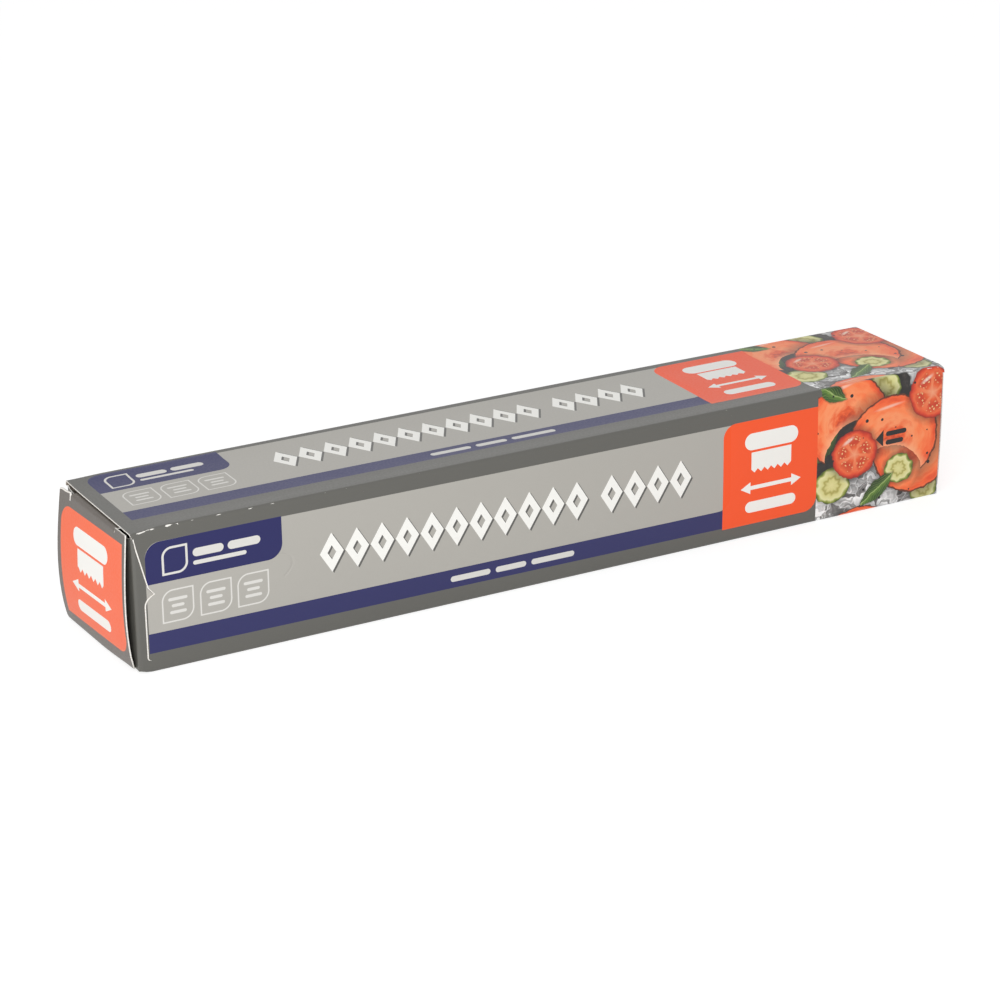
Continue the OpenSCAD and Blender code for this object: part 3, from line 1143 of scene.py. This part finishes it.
def bottom_point(u, v):
    y, z = along(BASE, v, fold_r)
    x, inward = along([(0, 0), (wall_x, 0), (wall_x, depth)], abs(u), side_fold_r)
    turned = clamp((v - base_front + fold_r) / (2 * fold_r))
    x = x * turned + min(abs(u), wall_x) * (1 - turned)
    return Vector((math.copysign(x, u), y + inward * turned, z))


bottom_rows = crease_cuts(base_back, fold_r) + crease_cuts(base_front, fold_r)
bottom_rows += [base_back + d for d in (6, 14, 22, 30, 38, 46)]
make_board(
    "bottom_panel", cut_blank(bottom_outline, long_cuts, bottom_rows), bottom_point,
    front_inks, print_from=base_front,
    joints=((0, flap_root), (0, -flap_root), (1, base_front + panel_foot)))

# %% [markdown]
# An end flap goes on from the bottom panel, folds up, swells out, and turns over into a lip
# that is tucked in under the top panel between two slits. How far it stands out was measured
# on the photo at its front and its back edge, and it is straight between them. The left
# one's back shoulder is torn and stands lower.

# %% End flaps
lip_gap = 0.5
lip_l = 9.0
lip_slit_l = 9.0
lip_corner = 2.0
slit_gap = 0.25
front_inset = 1.0
torn_run = 2.6
torn_w = 0.45
shoulder_z = height - 0.6
lip_z = height - board - lip_gap
lip_half = flap_w / 2 - lip_slit_l
flap_fold_r = 1.025
LEFT_SWELL = {"front": (0.45, 1.05, 1.8), "back": (2.1, 2.1, 2.57)}
RIGHT_SWELL = {"front": (0.5, 0.55, 0.5), "back": (0.55, 0.6, 0.6)}


def swell_at(swell, y, z):
    """How far a flap stands out past the top panel's end, from its two measured edges."""
    t = clamp(z / height)
    share = (y + depth / 2) / depth
    low, high, bulge = (
        a + (b - a) * share for a, b in zip(swell["front"], swell["back"]))
    return low * (1 - t) + high * t + bulge * math.sin(math.pi * t ** 0.78)


def torn_edge(w, back_z, fringe_w):
    """Torn top of the back shoulder, and the tear that hooks down beside the lip."""
    along_top = [
        (w, back_z), (w - 2.4, back_z + 0.45), (w - 4.6, back_z + 0.5),
        (lip_half + 0.75, back_z + 0.95)]
    down = [(lip_half + 0.34, back_z), (lip_half + 0.3, back_z + 0.9 - torn_run)]
    if not fringe_w:
        return along_top + down
    top = [(y, z - fringe_w) for y, z in along_top]
    top[-1] = (top[-1][0] + fringe_w * 0.6, top[-1][1])
    return top + [(y + fringe_w, z) for y, z in down]


def flap_outline(side, torn):
    """Outline of a flap, from its root at the bottom panel to the end of its lip."""
    w = flap_w / 2
    root = flap_root - half
    slit = lip_z - flap_fold_r - 0.3
    tip = lip_z + lip_l
    back_z = shoulder_z - torn
    back = [(w - 1, root), (w, 2.5)]
    if torn:
        back += torn_edge(w, back_z, torn_w)
        back += [torn_edge(w, back_z, 0.0)[-1], (lip_half + 0.1, slit - 1.1)]
    else:
        back += [(w, back_z), (lip_half + slit_gap, back_z), (lip_half + slit_gap, slit)]
    lip = [
        (lip_half, slit), (lip_half, tip - lip_corner), (lip_half - lip_corner, tip),
        (-lip_half + lip_corner, tip), (-lip_half, tip - lip_corner), (-lip_half, slit)]
    front = [
        (-lip_half - slit_gap, slit), (-lip_half - slit_gap, shoulder_z),
        (-w + front_inset, shoulder_z), (-w + front_inset, 3.5), (-w + 1.6, 1.2),
        (-w + 2.8, -0.4), (-w + 3.4, root)]
    return [(side * y, p) for y, p in (*back, *lip, *front)][::side]


def flap_point(side, swell):
    """Fold of one end flap: p runs up it, and u across it, from left to right seen outside."""
    def fold(u, p):
        y = side * u
        if abs(y) <= lip_half + 0.05 or p < lip_z - flap_fold_r - 0.2:
            out, z = along([(-30, 0), (0, 0), (0, lip_z), (-30, lip_z)], p + 30, flap_fold_r)
        else:
            out, z = 0.0, p
        stand = swell_at(swell, y, z)
        if p < 0:
            stand *= 1 - p / (flap_root - half)
        return Vector((side * (half + out + stand), y, z))
    return fold


def make_flap(name, side, swell, torn, inks):
    rows = crease_cuts(0, flap_fold_r)[1:] + crease_cuts(lip_z, flap_fold_r)[:-1]
    rows += [3, 6, 9, 13, 17, 21, 25, 29, 33, 37, 41, 44, lip_z + 4]
    across = [-24, -20, -lip_half - 0.1, -13, -9, -4, 0, 4, 9, 13, lip_half + 0.1, 20, 24]
    raw = []
    if torn:
        edges = [torn_edge(flap_w / 2, shoulder_z - torn, width) for width in (0.0, torn_w)]
        raw = [[[(side * y, p) for y, p in edge] for edge in edges]]
    make_board(
        name, cut_blank(flap_outline(side, torn), across, rows, raw),
        flap_point(side, swell), inks, joints=((1, flap_root - half),))


make_flap("left_flap", -1, LEFT_SWELL, 1.0, left_inks)
make_flap("right_flap", 1, RIGHT_SWELL, 0.0, right_inks)

# %% Recess between the dust flaps
recess_half = 12.0
recess_in = 0.45


def recess_point(side):
    def fold(u, v):
        return Vector((side * (wall_x - board - recess_in), side * u, v))
    return fold


recess_top = height - 2 * board
recess_outline = [
    (-recess_half, board), (recess_half, board), (recess_half, recess_top),
    (-recess_half, recess_top)]
for side, name in ((-1, "left_recess"), (1, "right_recess")):
    make_board(name, cut_blank(recess_outline, (), ()), recess_point(side), board_back)

sheets = [
    o for o in bpy.context.scene.objects
    if o.type == "MESH" and o is not carton and o.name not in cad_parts]
for sheet in sheets:
    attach(sheet, "root")
    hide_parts("carton")
print(f"{len(sheets)} pieces")

# %% [markdown]
# The camera was fitted to the carton's corners in the photo.

# %% Camera
yaw, pitch, roll = (math.radians(a) for a in (28.591, 21.526, -0.691))
turned = Matrix.Rotation(-yaw, 4, "Z") @ Matrix.Rotation(math.pi / 2 - pitch, 4, "X")
lens = bpy.data.cameras.new("Camera")
lens.sensor_width = 36
lens.lens = 113.25
lens.clip_end = 20
camera = bpy.data.objects.new("Camera", lens)
camera.matrix_world = turned @ Matrix.Rotation(roll, 4, "Z")
camera.location = Vector((-482.25 + middle_x, -867.8, 410.91)) * MM
bpy.context.scene.collection.objects.link(camera)
bpy.context.scene.camera = camera

# %% [markdown]
# A pale studio. The world is white for the eye and for reflections, and dimmer as a light,
# so that a flat ink renders about as it is written. One large soft lamp low on the left
# lights the front and the left end, a little more at the near end.

# %% Studio
floor_reach = 6.0
scene = bpy.context.scene
scene.view_settings.view_transform = "Standard"


def grey(level):
    return (level, level, level, 1)


def seen_or_mirrored(tree):
    """1 for rays from the camera and for those mirrored or bent towards it."""
    path = add("LightPath", tree=tree).node
    kinds = ("Is Camera Ray", "Is Glossy Ray", "Is Transmission Ray")
    return together([path.outputs[kind] for kind in kinds])


scene.world = bpy.data.worlds.new("Studio")
tree = emptied_tree(scene.world)
tint = add("MixRGB", (seen_or_mirrored(tree), grey(0.60), grey(1)))
add("OutputWorld", {"Surface": add("Background", {"Color": tint})})

corners = [(s * floor_reach, t * floor_reach, 0) for s, t in ((-1, -1), (1, -1), (1, 1), (-1, 1))]
floor_mesh = bpy.data.meshes.new("floor")
floor_mesh.from_pydata(corners, [], [(0, 1, 2, 3)])
floor = bpy.data.objects.new("floor", floor_mesh)
scene.collection.objects.link(floor)
paper = bpy.data.materials.new("Matt white paper sweep")
tree = emptied_tree(paper)
lit = add("BsdfDiffuse", {"Color": grey(0.85)}, tree=tree)
shadow_part = add("BsdfDiffuse", {"Color": grey(0.45)}, tree=tree)
glow = add("Emission", {"Color": grey(1), "Strength": 0.72}, tree=tree)
seen = add("AddShader", (shadow_part, glow))
surface = add("MixShader", (seen_or_mirrored(tree), lit, seen))
add("OutputMaterial", {"Surface": surface})
floor_mesh.materials.append(paper)

lamp_place = Vector((-0.55, -0.60, 0.33))
lamp_aim = Vector((-0.05, 0, 0.02))
softbox = bpy.data.lights.new("Key", "AREA")
softbox.shape = "SQUARE"
softbox.size = 0.5
softbox.energy = 4.2
lamp = bpy.data.objects.new("Key", softbox)
lamp.location = lamp_place
lamp.rotation_euler = (lamp_aim - lamp_place).to_track_quat("-Z", "Y").to_euler()
scene.collection.objects.link(lamp)

# %% Finish
print("cad", [round(v / MM, 2) for v in (*cad_low, *cad_high)])
